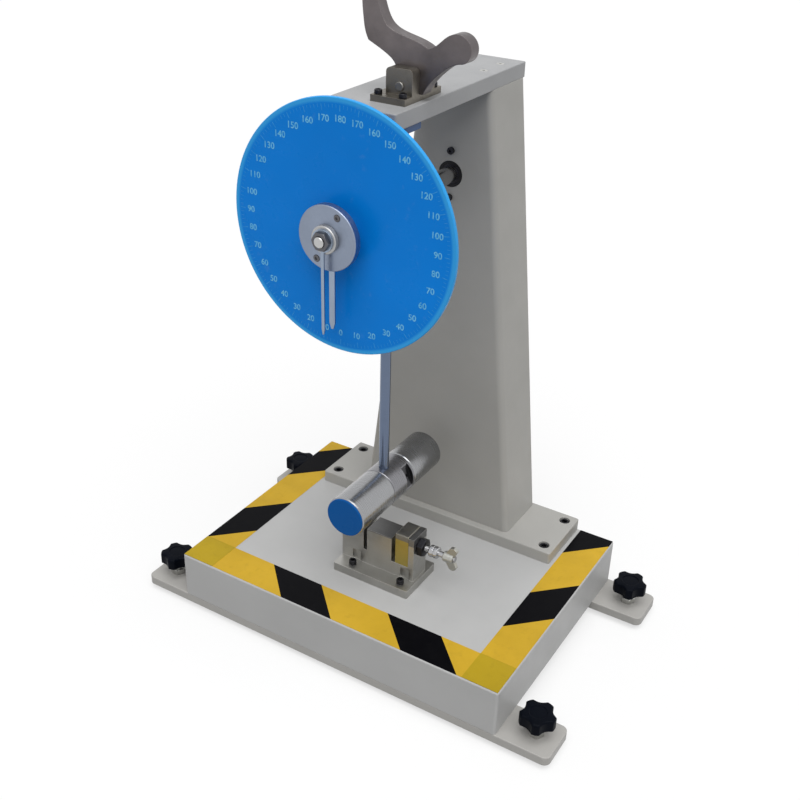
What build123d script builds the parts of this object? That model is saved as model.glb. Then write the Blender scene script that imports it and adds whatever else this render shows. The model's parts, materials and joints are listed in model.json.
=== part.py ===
from build123d import *
import math
import os

os.makedirs("parts", exist_ok=True)

# Sizes in millimetres. X is right, Y runs back from the base's front face, Z is up from the
# underside of the foot bars. Everything is moved into the shared frame when it is written.

# General clearances
thread_gap = 0.1        # screw shank in its hole, same body
running_gap = 0.05      # shaft or pin turning in a bore
face_gap = 0.3          # between curved or flat faces of parts that move past each other
overcut = 1.0           # how far a tool runs past the face it opens or joins
key_share = 0.95        # hexagon key's corner radius as a share of the screw's shank radius
key_floor_share = 0.45  # height of the key pocket's floor as a share of the head's height

# Base tray
base_w = 480.0
base_d = 352.0
base_h = 66.0
sheet = 2.5
base_corner_r = 4.0
base_top_r = 2.5
lip_depth = 32.0

# Foot bars
bar_overhang = 70.0
bar_w = 60.0
bar_t = 12.0
bar_corner_r = 9.0
bar_edge = 0.8
bar_head_space = 0.5
bar_bolt_edge = 40.0
bar_bolt_pitch = 130.0
bar_bolt_inset = 17.0
bar_bolt_r = 4.0
bar_head_r = 6.5
bar_head_h = 7.0
bar_nut_af = 13.0
bar_nut_h = 6.5

# Levelling feet
foot_inset_x = 30.0
stud_r = 5.0
pad_r = 18.0
pad_h = 8.0
pad_gap = 0.5
pad_socket_r = 4.0
pad_socket_depth = 5.0
pad_slope = 2.5
lock_nut_af = 17.0
lock_nut_h = 8.0
foot_travel = 10.0
knob_r = 22.5
knob_h = 17.0
knob_lobes = 5
knob_cut_r = 13.0
knob_cut_at = 31.0
knob_edge = 2.6
knob_lobe_r = 2.6
knob_bottom_edge = 1.0
knob_roof = 5.0

# Column foot plate and its bolts
plate_w = 370.0
plate_d = 98.0
plate_t = 17.0
plate_bolt_inset_x = 15.5
plate_bolt_inset_y = 15.2
plate_corner_r = 3.0
plate_edge = 1.0
plate_bolt_r = 4.0
plate_head_r = 6.5
plate_head_h = 8.0
plate_head_sink = 1.0
plate_bore_gap = 1.0
backing_t = 8.0
backing_inset = 5.0
screw_end_gap = 1.0

# Column
col_depth = 87.4
col_w_bottom = 230.0
col_w_top = 97.0
col_corner_r = 8.0
col_wall = 3.0

# Arm
arm_w = 96.0
arm_y0 = 58.0
arm_t = 18.0
arm_rise = 631.0
arm_screw_inset = 15.4
arm_screw_pitch = 42.0
arm_screw_x = 29.0
arm_screw_r = 2.5
arm_head_r = 5.0
arm_head_h = 2.8
arm_sink_h = 3.0
arm_key_r = 2.0
arm_head_gap = 0.5
arm_screw_depth = 25.0
arm_corner_r = 2.0
arm_edge = 0.8

# Shaft line
axis_below_arm = 124.6
shaft_r = 10.0
stub_r = 8.0
tip_r = 6.0
bearing_r = 16.0
bearing_w = 7.0
bearing_inner_r = 12.2
bearing_seal_gap = 0.3
shaft_end_out = 14.4
bearing_sink = 0.5
shaft_edge = 0.8
shaft_step_y = 7.6
stub_front = -1.5
shaft_tip = -10.5

# Bearing housing inside the column
housing_r = 24.0
housing_len = 18.0
housing_flange_r = 37.0
housing_flange_t = 6.0
housing_screw_at = 29.0
housing_screw_r = 2.5
housing_head_r = 4.5
housing_head_h = 3.0

# Hanger plate that carries the dial
hanger_w = 92.0
hanger_y0 = 80.0
hanger_t = 8.0
hanger_drop = 221.0
hanger_lug = 24.0
hanger_corner_r = 20.0
hanger_hole_r = 13.0
hanger_bolt_x = 28.0
hanger_bolt_r = 4.0
hanger_bolt_af = 13.0
hanger_head_h = 5.3
hanger_bolt_len = 18.0

# Sleeve that carries the dial, retaining ring and felt washer
sleeve_bore_r = 12.0
sleeve_nose_r = 14.0
sleeve_nose_y = 7.0
sleeve_tube_r = 22.0
sleeve_seat_r = 45.0
sleeve_seat_t = 6.0
sleeve_flange_r = 36.0
sleeve_flange_t = 6.0
sleeve_screw_at = 29.0
sleeve_screw_r = 2.5
sleeve_head_r = 4.25
sleeve_head_h = 5.0
ring_r = 20.0
ring_y0 = 18.0
felt_y0 = 16.3
felt_r = 19.0

# Dial
dial_r = 140.0
dial_y0 = 30.0
dial_t = 4.0
dial_edge = 0.8

# Pointers and their hub
hub_disc_r = 36.0
hub_disc_y0 = 4.8
hub_disc_y1 = 13.5
hub_front_t = 2.0
hub_screw_at = 28.0
hub_screw_r = 2.0
hub_head_r = 3.6
hub_head_h = 2.2
hub_head_sink = 1.6
hub_head_gap = 0.4
hub_edge = 0.8
hub_screw_deg = 62.0
drag_rim = 5.0
drag_tip_len = 7.0
drive_tip_len = 6.0
pointer_tip_share = 0.35
drag_t = 2.0
drag_w = 7.0
drag_ring_r = 24.0
pointer_reach = 107.0
drive_t = 2.0
drive_w = 3.6
drive_ring_r = 12.5
collar_r = 15.5
tip_nut_af = 19.0
tip_nut_h = 5.0

# Pendulum
swing_y = 125.0
pend_hub_r = 20.0
pend_hub_w = 26.0
pend_hub_edge = 1.0
pend_neck_r = 11.5
pend_neck_drop = 44.0
rod_r = 6.5
rod_seat = 24.0
hub_grub_r = 4.0
hub_grub_len = 8.5
hub_grub_key_r = 2.3
hub_grub_key_depth = 4.0
rod_edge = 0.6
hammer_clear = 28.5
hammer_r = 26.5
hammer_front_len = 72.5
hammer_clamp_ahead = 14.0
hammer_clamp_len = 49.0
hammer_rear_len = 66.0
hammer_face_t = 2.5
hammer_face_r = 25.2
hammer_edge = 1.2
front_spigot_r = 9.0
front_spigot_len = 4.0
rear_spigot_r = 12.0
rear_spigot_len = 20.0
clamp_grub_r = 3.2
notch_inset = 12.0
notch_w = 15.0
notch_depth = 5.5
notch_deg = 17.0
clamp_grub_sink = 1.5
clamp_grub_key_r = 1.5
clamp_grub_key_depth = 4.5
hammer_face_edge = 0.6

# Release lever and its bracket
bracket_x0 = -2.0
bracket_x1 = 40.0
bracket_d = 74.0
bracket_t = 7.0
ear_x0 = 8.0
ear_over_pin = 18.0
ear_t = 14.5
ear_crown_r = 5.0
lever_t = 16.0
lever_pin_x = 25.0
lever_pin_rise = 9.0
lever_pin_r = 5.0
lever_pin_out = 2.0
lever_boss_r = 8.6
lever_reach = 73.0
lever_rise = 99.0
lever_heel_w = 19.0
bracket_screw_r = 2.5
bracket_head_r = 4.25
bracket_head_h = 5.0
bracket_screw_inset = 6.0
bracket_screw_beside = 4.0
bracket_screw_depth = 9.0

# Specimen vise
vise_x0 = -52.0
vise_lip = 4.0
vise_mid_y = 124.0
vise_front = 38.0
vise_rear = 34.0
vise_plate_t = 12.0
vise_block_d = 32.0
fixed_h = 68.0
relief_x = -16.0
relief_w = 5.5
relief_floor_up = 34.0
gap_x0 = 24.5
gap_w = 5.5
gap_floor_up = 32.0
jaw_thick = 19.5
jaw_up = 79.0
wall_t = 8.0
wall_up = 78.0
key_w = 8.0
key_h = 4.0
key_gap = 0.2
vise_screw_front = 12.0
vise_screw_rear = 9.0
vise_screw_left = 23.0
vise_screw_right = 17.0
vise_screw_r = 3.0
vise_head_r = 5.0
vise_head_h = 6.0
vise_pocket_r = 12.0
vise_pocket_up = 16.0
vise_head_gap = 1.0
vise_corner_r = 2.0
jaw_side_gap = 0.5
jaw_edge = 1.0
clamp_up = 60.0
clamp_r = 4.0
clamp_seat = 7.0
clamp_nut_af = 22.0
clamp_nut_w = 9.0
clamp_collar_out = 6.5
clamp_collar_len = 12.5
clamp_collar_r = 8.0
clamp_tail = 24.0
wing_out = 8.0
wing_hub_r = 7.0
wing_hub_len = 14.0
wing_hub_edge = 1.0
wing_t = 5.0
wing_corner_r = 1.5
wing_sweep = 5.0
wing_reach = 17.0

# The shared frame: origin under the middle of the whole, floor at the pads' underside.
shift_y = -(base_d + shaft_tip) / 2
shift_z = pad_h + pad_gap

# Sizes that follow from the ones above
base_half = base_w / 2
base_z0 = bar_t
base_z1 = base_z0 + base_h
bar_len = base_w + 2 * bar_overhang
bar_bolt_x = (base_half - bar_bolt_edge, base_half - bar_bolt_edge - bar_bolt_pitch)
foot_x = bar_len / 2 - foot_inset_x
foot_y = (bar_w / 2, base_d - bar_w / 2)
plate_y0 = base_d - plate_d
plate_bolt_x = plate_w / 2 - plate_bolt_inset_x
plate_bolt_y = (plate_y0 + plate_bolt_inset_y, base_d - plate_bolt_inset_y)
plate_bore_r = plate_head_r + plate_bore_gap
plate_pocket = plate_head_h + plate_head_sink
col_y0 = base_d - col_depth
arm_screw_y = (col_y0 + arm_screw_inset, col_y0 + arm_screw_inset + arm_screw_pitch)
shaft_back = col_y0 + shaft_end_out
plate_top = base_z1 + plate_t
arm_top = base_z1 + arm_rise
arm_z0 = arm_top - arm_t
hanger_z0 = arm_z0 - hanger_drop
axis_z = arm_top - axis_below_arm
hanger_back = hanger_y0 + hanger_t
bearing_front_y = col_y0 + bearing_sink
hammer_clamp_y0 = swing_y - hammer_clamp_ahead
hammer_clamp_y1 = hammer_clamp_y0 + hammer_clamp_len
hammer_y0 = hammer_clamp_y0 - hammer_front_len
hammer_y1 = hammer_clamp_y1 + hammer_rear_len
notch_y = hammer_clamp_y1 - notch_inset
bracket_y0 = swing_y - bracket_d / 2
bracket_y1 = swing_y + bracket_d / 2
bracket_top = arm_top + bracket_t
lever_pin_z = bracket_top + lever_pin_rise
ear_top = lever_pin_z + ear_over_pin
vise_top = base_z1 + vise_plate_t
vise_y0 = vise_mid_y - vise_front
vise_y1 = vise_mid_y + vise_rear
body_y0 = vise_mid_y - vise_block_d / 2
body_y1 = vise_mid_y + vise_block_d / 2
fixed_top = base_z1 + fixed_h
relief_floor = base_z1 + relief_floor_up
gap_floor = base_z1 + gap_floor_up
jaw_top = base_z1 + jaw_up
hammer_z = jaw_top + hammer_clear + hammer_r
wall_top = base_z1 + wall_up
jaw_x0 = gap_x0 + gap_w
jaw_x1 = jaw_x0 + jaw_thick
wall_x0 = jaw_x1 + jaw_side_gap
wall_x1 = wall_x0 + wall_t
vise_x1 = wall_x1 + vise_lip
vise_screw_y = (vise_y0 + vise_screw_front, vise_y1 - vise_screw_rear)
vise_screw_x = (vise_x0 + vise_screw_left, vise_x1 - vise_screw_right)
clamp_y = vise_mid_y
clamp_z = base_z1 + clamp_up
clamp_collar_x0 = wall_x1 + clamp_nut_w + clamp_collar_out
clamp_collar_x1 = clamp_collar_x0 + clamp_collar_len
clamp_end_x = clamp_collar_x1 + clamp_tail
wing_x0 = clamp_collar_x1 + wing_out
stops_z = bar_t + lock_nut_h
knob_z0 = stops_z + foot_travel + pad_gap


def block(x0, x1, y0, y1, z0, z1):
    """A box between two corners."""
    middle = Pos((x0 + x1) / 2, (y0 + y1) / 2, (z0 + z1) / 2)
    return middle * Box(x1 - x0, y1 - y0, z1 - z0)


def bar_x(y, z, r, x0, x1):
    """A cylinder along X."""
    return Pos((x0 + x1) / 2, y, z) * Rot(0, 90, 0) * Cylinder(r, x1 - x0)


def bar_y(x, z, r, y0, y1):
    """A cylinder along Y."""
    return Pos(x, (y0 + y1) / 2, z) * Rot(90, 0, 0) * Cylinder(r, y1 - y0)


def bar_z(x, y, r, z0, z1):
    """A cylinder along Z."""
    return Pos(x, y, (z0 + z1) / 2) * Cylinder(r, z1 - z0)


def hexagon(af, h):
    """A hexagonal prism from Z 0 to h, measured across flats."""
    return extrude(RegularPolygon(af / math.sqrt(3), 6), h)


def socket_screw(head_r, head_h, shank_r, shank_len):
    """Socket head screw pointing down, head underside at Z 0."""
    head = Pos(0, 0, head_h / 2) * Cylinder(head_r, head_h)
    key = extrude(RegularPolygon(shank_r * key_share, 6), head_h)
    shank = Pos(0, 0, -shank_len / 2) * Cylinder(shank_r, shank_len)
    return head + shank - Pos(0, 0, head_h * key_floor_share) * key


def hex_bolt(af, head_h, shank_r, shank_len):
    """Hexagon head bolt pointing down, head underside at Z 0."""
    shank = Pos(0, 0, -shank_len / 2) * Cylinder(shank_r, shank_len)
    return hexagon(af, head_h) + shank


def group(shapes):
    return Compound(children=list(shapes))


def ring_between(outer_r, inner_r, y0, y1):
    return bar_y(0, axis_z, outer_r, y0, y1) - bar_y(0, axis_z, inner_r, y0 - overcut, y1 + overcut)


# Base

def base_bolt_spots():
    return [(sx * x, y) for x in bar_bolt_x for sx in (-1, 1)
            for y in (bar_bolt_inset, base_d - bar_bolt_inset)]


def plate_bolt_spots():
    return [(sx * plate_bolt_x, y) for sx in (-1, 1) for y in plate_bolt_y]


def vise_screw_spots():
    return [(x, y) for x in vise_screw_x for y in vise_screw_y]


def base_shell():
    outer = block(-base_half, base_half, 0, base_d, base_z0, base_z1)
    outer = fillet(outer.edges().filter_by(Axis.Z), base_corner_r)
    outer = fillet(outer.faces().sort_by(Axis.Z)[-1].edges(), base_top_r)
    hollow = block(-base_half + sheet, base_half - sheet, sheet, base_d - sheet,
                   base_z0 - overcut, base_z1 - sheet)
    hollow = fillet(hollow.edges().filter_by(Axis.Z), base_corner_r - sheet)
    shell = outer - hollow
    for y0, y1 in ((sheet / 2, lip_depth), (base_d - lip_depth, base_d - sheet / 2)):
        shell += block(-base_half + sheet / 2, base_half - sheet / 2, y0, y1,
                       base_z0, base_z0 + sheet)
    for x, y in base_bolt_spots():
        shell -= bar_z(x, y, bar_bolt_r + thread_gap, base_z0 - overcut, base_z0 + sheet + overcut)
    for x, y in plate_bolt_spots():
        shell -= bar_z(x, y, plate_bolt_r + thread_gap, base_z1 - sheet - overcut, base_z1 + overcut)
    for x, y in vise_screw_spots():
        shell -= bar_z(x, y, vise_screw_r + thread_gap, base_z1 - sheet - overcut, base_z1 + overcut)
    return shell


def backing_plates():
    """Plates under the top sheet that the column bolts and the vise screws thread into."""
    top = base_z1 - sheet
    column = block(-plate_w / 2, plate_w / 2, plate_y0 + backing_inset, base_d - sheet - face_gap,
                   top - backing_t, top)
    for x, y in plate_bolt_spots():
        column -= bar_z(x, y, plate_bolt_r + thread_gap, top - backing_t - overcut, top + overcut)
    vise = block(vise_x0, vise_x1, vise_y0, vise_y1, top - backing_t, top)
    for x, y in vise_screw_spots():
        vise -= bar_z(x, y, vise_screw_r + thread_gap, top - backing_t - overcut, top + overcut)
    return group((column, vise))


def foot_bar(y_mid):
    bar = block(-bar_len / 2, bar_len / 2, y_mid - bar_w / 2, y_mid + bar_w / 2, 0, bar_t)
    bar = fillet(bar.edges().filter_by(Axis.Z), bar_corner_r)
    bar = chamfer(bar.faces().sort_by(Axis.Z)[-1].edges(), bar_edge)
    for sx in (-1, 1):
        bar -= bar_z(sx * foot_x, y_mid, stud_r + running_gap, -overcut, bar_t + overcut)
    for x, y in base_bolt_spots():
        if abs(y - y_mid) < bar_w:
            bar -= bar_z(x, y, bar_bolt_r + thread_gap, -overcut, bar_t + overcut)
            bar -= bar_z(x, y, bar_head_r + plate_bore_gap, -overcut, bar_head_h + bar_head_space)
    return bar


def foot_bar_bolts():
    length = bar_t + sheet + bar_nut_h - bar_head_h
    bolt = Rot(180, 0, 0) * socket_screw(bar_head_r, bar_head_h, bar_bolt_r, length)
    return group(Pos(x, y, bar_head_h + bar_head_space) * bolt for x, y in base_bolt_spots())


def foot_bar_nuts():
    nut = hexagon(bar_nut_af, bar_nut_h)
    nut -= bar_z(0, 0, bar_bolt_r + thread_gap, -overcut, bar_nut_h + overcut)
    return group(Pos(x, y, base_z0 + sheet) * nut for x, y in base_bolt_spots())


def levelling_pad(x, y):
    top = -pad_gap
    pad = bar_z(0, 0, pad_r, top - pad_h, top)
    pad = chamfer(pad.edges().sort_by(Axis.Z)[-1], pad_slope)
    pad -= bar_z(0, 0, pad_socket_r, top - pad_socket_depth, top + overcut)
    return Pos(x, y, 0) * pad


def levelling_stud(x, y):
    top = knob_z0 + knob_h - knob_roof
    stud = bar_z(0, 0, stud_r, -pad_gap, top)
    stud += bar_z(0, 0, pad_socket_r - running_gap, -pad_gap - pad_socket_depth + 0.5, -pad_gap)
    return Pos(x, y, 0) * stud


def star_knob(x, y):
    """Lobed hand knob with hollows between the lobes and a bevelled crown."""
    outline = Circle(knob_r)
    for place in PolarLocations(knob_cut_at, knob_lobes, start_angle=180 / knob_lobes):
        outline -= place * Circle(knob_cut_r)
    outline = fillet(outline.vertices(), knob_lobe_r)
    knob = extrude(outline, knob_h)
    knob = chamfer(knob.faces().sort_by(Axis.Z)[-1].edges(), knob_edge)
    knob = chamfer(knob.faces().sort_by(Axis.Z)[0].edges(), knob_bottom_edge)
    knob -= bar_z(0, 0, stud_r, -overcut, knob_h - knob_roof)
    return Pos(x, y, knob_z0) * knob


def levelling_lock_nuts():
    nut = hexagon(lock_nut_af, lock_nut_h)
    nut -= bar_z(0, 0, stud_r + running_gap, -overcut, lock_nut_h + overcut)
    return group(Pos(sx * foot_x, y, bar_t) * nut for sx in (-1, 1) for y in foot_y)


# Column

def column_foot_plate():
    plate = block(-plate_w / 2, plate_w / 2, plate_y0, base_d, base_z1, plate_top)
    plate = fillet(plate.edges().filter_by(Axis.Z), plate_corner_r)
    plate = chamfer(plate.faces().sort_by(Axis.Z)[-1].edges(), plate_edge)
    for x, y in plate_bolt_spots():
        plate -= bar_z(x, y, plate_bolt_r + thread_gap, base_z1 - overcut, plate_top + overcut)
        plate -= bar_z(x, y, plate_bore_r, plate_top - plate_pocket, plate_top + overcut)
    return plate


def column_foot_bolts():
    length = plate_t - plate_pocket + sheet + backing_t - screw_end_gap
    bolt = socket_screw(plate_head_r, plate_head_h, plate_bolt_r, length)
    return group(Pos(x, y, plate_top - plate_pocket) * bolt for x, y in plate_bolt_spots())


def column_section(z, inset):
    """Rounded section of the tapering column at height z, drawn in by inset."""
    share = (z - plate_top) / (arm_z0 - plate_top)
    width = col_w_bottom + (col_w_top - col_w_bottom) * share - 2 * inset
    depth = base_d - col_y0 - 2 * inset
    middle = Pos(0, (col_y0 + base_d) / 2, z)
    return middle * RectangleRounded(width, depth, col_corner_r - inset)


def column_shell():
    """Tapering box column of bent sheet with a welded cap and the bearing hole in front."""
    outer = loft([column_section(plate_top, 0), column_section(arm_z0, 0)])
    cap_z = arm_z0 - col_wall
    inner = loft([column_section(plate_top, col_wall), column_section(cap_z, col_wall)])
    shell = outer - inner
    shell -= bar_y(0, axis_z, bearing_r + face_gap, col_y0 - overcut, col_y0 + col_wall + overcut)
    for side in (-1, 1):
        shell -= bar_y(0, axis_z + side * housing_screw_at, housing_screw_r + thread_gap,
                       col_y0 - overcut, col_y0 + col_wall + overcut)
    for x, y in arm_screw_spots():
        shell -= bar_z(x, y, arm_screw_r + thread_gap, cap_z - overcut, arm_z0 + overcut)
    return shell


def column_bearing_housing():
    y0 = col_y0 + col_wall
    housing = bar_y(0, axis_z, housing_flange_r, y0, y0 + housing_flange_t)
    housing += bar_y(0, axis_z, housing_r, y0, y0 + housing_len)
    housing -= bar_y(0, axis_z, bearing_r, y0 - overcut, bearing_front_y + bearing_w)
    housing -= bar_y(0, axis_z, sleeve_bore_r, y0 - overcut, y0 + housing_len + overcut)
    for side in (-1, 1):
        housing -= bar_y(0, axis_z + side * housing_screw_at, housing_screw_r + thread_gap,
                         y0 - overcut, y0 + housing_flange_t + overcut)
    return housing


def bearing_fronts():
    """Front faces of the two shaft bearings: in the column wall and in the dial sleeve."""
    return (bearing_front_y, hanger_y0 - bearing_w)


def bearing_outer_rings():
    return group(ring_between(bearing_r, bearing_inner_r + bearing_seal_gap, y, y + bearing_w)
                 for y in bearing_fronts())


def bearing_inner_rings():
    return group(ring_between(bearing_inner_r, shaft_r, y, y + bearing_w)
                 for y in bearing_fronts())


def column_bearing_screws():
    screw = Rot(90, 0, 0) * socket_screw(housing_head_r, housing_head_h, housing_screw_r,
                                         col_wall + housing_flange_t - screw_end_gap)
    return group(Pos(0, col_y0, axis_z + side * housing_screw_at) * screw for side in (-1, 1))


# Arm and hanger

def arm_screw_spots():
    return [(sx * arm_screw_x, y) for sx in (-1, 1) for y in arm_screw_y]


def hanger_bolt_spots():
    y = hanger_back + hanger_lug / 2
    return [(sx * hanger_bolt_x, y) for sx in (-1, 1)]


def bracket_screw_spots():
    inset = bracket_screw_inset
    return [(x, y) for x in (ear_x0 - bracket_screw_beside, bracket_x1 - inset)
            for y in (bracket_y0 + inset, bracket_y1 - inset)]


def arm_plate():
    plate = block(-arm_w / 2, arm_w / 2, arm_y0, base_d, arm_z0, arm_top)
    plate = fillet(plate.edges().filter_by(Axis.Z), arm_corner_r)
    plate = chamfer(plate.faces().sort_by(Axis.Z)[-1].edges(), arm_edge)
    for x, y in arm_screw_spots():
        plate -= bar_z(x, y, arm_screw_r + thread_gap, arm_z0 - overcut, arm_top + overcut)
        plate -= Pos(x, y, arm_top - arm_sink_h / 2) * Cone(arm_screw_r, arm_head_r + arm_head_gap,
                                                            arm_sink_h)
    for x, y in hanger_bolt_spots():
        plate -= bar_z(x, y, hanger_bolt_r + thread_gap, arm_z0 - overcut,
                       arm_z0 + hanger_bolt_len - hanger_t + screw_end_gap)
    for x, y in bracket_screw_spots():
        plate -= bar_z(x, y, bracket_screw_r + thread_gap,
                       arm_top - bracket_screw_depth - screw_end_gap, arm_top + overcut)
    return plate


def arm_screws():
    screw = Pos(0, 0, arm_top - arm_sink_h / 2) * Cone(arm_screw_r, arm_head_r, arm_head_h)
    screw += bar_z(0, 0, arm_screw_r, arm_top - arm_screw_depth, arm_top - arm_sink_h / 2)
    screw -= Pos(0, 0, arm_top - arm_sink_h / 2) * extrude(RegularPolygon(arm_key_r, 6), arm_sink_h)
    return group(Pos(x, y, 0) * screw for x, y in arm_screw_spots())


def hanger_plate():
    """Angle bracket under the arm: a tall plate with rounded feet and a bolted lug."""
    wall = block(-hanger_w / 2, hanger_w / 2, hanger_y0, hanger_back, hanger_z0, arm_z0)
    lower = wall.edges().filter_by(Axis.Y).sort_by(Axis.Z)[:2]
    wall = fillet(lower, hanger_corner_r)
    lug = block(-hanger_w / 2, hanger_w / 2, hanger_y0, hanger_back + hanger_lug,
                arm_z0 - hanger_t, arm_z0)
    plate = wall + lug
    plate -= bar_y(0, axis_z, hanger_hole_r, hanger_y0 - overcut, hanger_back + overcut)
    for x, y in hanger_bolt_spots():
        plate -= bar_z(x, y, hanger_bolt_r + thread_gap, arm_z0 - hanger_t - overcut, arm_z0 + overcut)
    for x, z in sleeve_screw_spots():
        plate -= bar_y(x, z, sleeve_screw_r + thread_gap, hanger_y0 - overcut, hanger_back + overcut)
    return plate


def hanger_bolts():
    bolt = Rot(180, 0, 0) * hex_bolt(hanger_bolt_af, hanger_head_h, hanger_bolt_r,
                                hanger_bolt_len)
    return group(Pos(x, y, arm_z0 - hanger_t) * bolt for x, y in hanger_bolt_spots())


# Dial side

def sleeve_screw_spots():
    reach = sleeve_screw_at
    return [(reach * math.cos(a), axis_z + reach * math.sin(a))
            for a in (math.radians(45 + 90 * i) for i in range(4))]


def dial_support_sleeve():
    """Flanged sleeve on the hanger: bearing seat at the back, dial seat and long nose in front."""
    seat_y = dial_y0 + dial_t
    sleeve = bar_y(0, axis_z, sleeve_tube_r, seat_y, hanger_y0)
    sleeve += bar_y(0, axis_z, sleeve_seat_r, seat_y, seat_y + sleeve_seat_t)
    sleeve += bar_y(0, axis_z, sleeve_flange_r, hanger_y0 - sleeve_flange_t, hanger_y0)
    sleeve += bar_y(0, axis_z, sleeve_nose_r, sleeve_nose_y, seat_y)
    sleeve -= bar_y(0, axis_z, sleeve_bore_r, sleeve_nose_y - overcut, hanger_y0 + overcut)
    sleeve -= bar_y(0, axis_z, bearing_r, hanger_y0 - bearing_w, hanger_y0 + overcut)
    for x, z in sleeve_screw_spots():
        sleeve -= bar_y(x, z, sleeve_screw_r + thread_gap, hanger_y0 - sleeve_flange_t - overcut,
                        hanger_y0 + overcut)
    return sleeve


def sleeve_screws():
    screw = Rot(90, 0, 0) * socket_screw(sleeve_head_r, sleeve_head_h, sleeve_screw_r,
                                         sleeve_flange_t + hanger_t - screw_end_gap)
    return group(Pos(x, hanger_y0 - sleeve_flange_t, z) * screw for x, z in sleeve_screw_spots())


def dial_disc():
    disc = bar_y(0, axis_z, dial_r, dial_y0, dial_y0 + dial_t)
    disc = chamfer(disc.edges().filter_by(GeomType.CIRCLE).sort_by(Axis.Y)[0], dial_edge)
    return disc - bar_y(0, axis_z, sleeve_nose_r + thread_gap, dial_y0 - overcut, dial_y0 + dial_t + overcut)


def dial_retaining_ring():
    return ring_between(ring_r, sleeve_nose_r + thread_gap, ring_y0, dial_y0)


def felt_washer():
    return ring_between(felt_r, sleeve_nose_r + thread_gap, felt_y0, ring_y0)


def drag_hub_spots():
    reach = hub_screw_at
    return [(reach * math.cos(a), axis_z + reach * math.sin(a))
            for a in (math.radians(hub_screw_deg), math.radians(hub_screw_deg + 180))]


def drag_pointer_hub():
    """Cup that turns on the sleeve's nose and carries the maximum pointer."""
    hub = bar_y(0, axis_z, hub_disc_r, hub_disc_y0, hub_disc_y1)
    hub = chamfer(hub.edges().filter_by(GeomType.CIRCLE).sort_by(Axis.Y)[0], hub_edge)
    hub -= bar_y(0, axis_z, sleeve_nose_r + running_gap, hub_disc_y0 + hub_front_t, hub_disc_y1 + overcut)
    hub -= bar_y(0, axis_z, stub_r + face_gap, hub_disc_y0 - overcut, hub_disc_y1)
    for x, z in drag_hub_spots():
        hub -= bar_y(x, z, hub_screw_r + thread_gap, hub_disc_y0 - overcut, hub_disc_y1 + overcut)
        hub -= bar_y(x, z, hub_head_r + hub_head_gap, hub_disc_y0 - overcut, hub_disc_y0 + hub_head_sink)
    return hub


def drag_hub_screws():
    y = hub_disc_y0 + hub_head_sink
    screw = Rot(90, 0, 0) * socket_screw(hub_head_r, hub_head_h, hub_screw_r,
                                         hub_disc_y1 - y + drag_t)
    return group(Pos(x, y, z) * screw for x, z in drag_hub_spots())


def pointer_blade(width, start, tip_len, y0, y1):
    """A slim bar hanging from the axis with a pointed tip."""
    half = width / 2
    bottom = axis_z - pointer_reach
    tip = half * pointer_tip_share
    outline = Polyline((-half, axis_z - start), (-half, bottom + tip_len), (-tip, bottom),
                       (tip, bottom), (half, bottom + tip_len), (half, axis_z - start),
                       close=True)
    face = make_face(Plane.XZ * Plane.XY.to_local_coords(outline))
    return Pos(0, y1, 0) * extrude(face, y1 - y0)


def drag_pointer():
    y0 = hub_disc_y1
    y1 = y0 + drag_t
    pointer = bar_y(0, axis_z, hub_screw_at + drag_rim, y0, y1)
    pointer += pointer_blade(drag_w, drag_ring_r, drag_tip_len, y0, y1)
    pointer -= bar_y(0, axis_z, sleeve_nose_r + face_gap, y0 - overcut, y1 + overcut)
    for x, z in drag_hub_spots():
        pointer -= bar_y(x, z, hub_screw_r + thread_gap, y0 - overcut, y1 + overcut)
    return pointer


def pointer_collar():
    collar = bar_y(0, axis_z, collar_r, stub_front, hub_disc_y0 - face_gap)
    collar = chamfer(collar.edges().filter_by(GeomType.CIRCLE).sort_by(Axis.Y)[0], hub_edge)
    return collar - bar_y(0, axis_z, stub_r, stub_front - overcut, hub_disc_y0)


def driving_pointer():
    y0 = stub_front - drive_t
    pointer = bar_y(0, axis_z, drive_ring_r, y0, stub_front)
    pointer += pointer_blade(drive_w, drive_ring_r - drive_w / 2, drive_tip_len, y0, stub_front)
    return pointer - bar_y(0, axis_z, tip_r, y0 - overcut, stub_front + overcut)


def pointer_nut():
    nut = hexagon(tip_nut_af, tip_nut_h) - bar_z(0, 0, tip_r, -overcut, tip_nut_h + overcut)
    return Pos(0, stub_front - drive_t, axis_z) * Rot(90, 0, 0) * nut


# Pendulum

def pendulum_shaft():
    shaft = bar_y(0, axis_z, shaft_r, shaft_step_y, shaft_back)
    shaft = chamfer(shaft.edges().filter_by(GeomType.CIRCLE), shaft_edge)
    shaft += bar_y(0, axis_z, stub_r, stub_front, shaft_step_y + overcut)
    tip = bar_y(0, axis_z, tip_r, shaft_tip, stub_front + overcut)
    return shaft + chamfer(tip.edges().filter_by(GeomType.CIRCLE).sort_by(Axis.Y)[0], shaft_edge)


def pendulum_hub():
    half = pend_hub_w / 2
    hub = bar_y(0, axis_z, pend_hub_r, swing_y - half, swing_y + half)
    hub = chamfer(hub.edges().filter_by(GeomType.CIRCLE), pend_hub_edge)
    hub += bar_z(0, swing_y, pend_neck_r, axis_z - pend_neck_drop, axis_z)
    hub -= bar_y(0, axis_z, shaft_r, swing_y - half - overcut, swing_y + half + overcut)
    hub -= bar_z(0, swing_y, rod_r, axis_z - pend_neck_drop - overcut,
                 axis_z - pend_neck_drop + rod_seat)
    hub -= bar_z(0, swing_y, hub_grub_r + thread_gap, axis_z + shaft_r - overcut, axis_z + pend_hub_r + overcut)
    return hub


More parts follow.
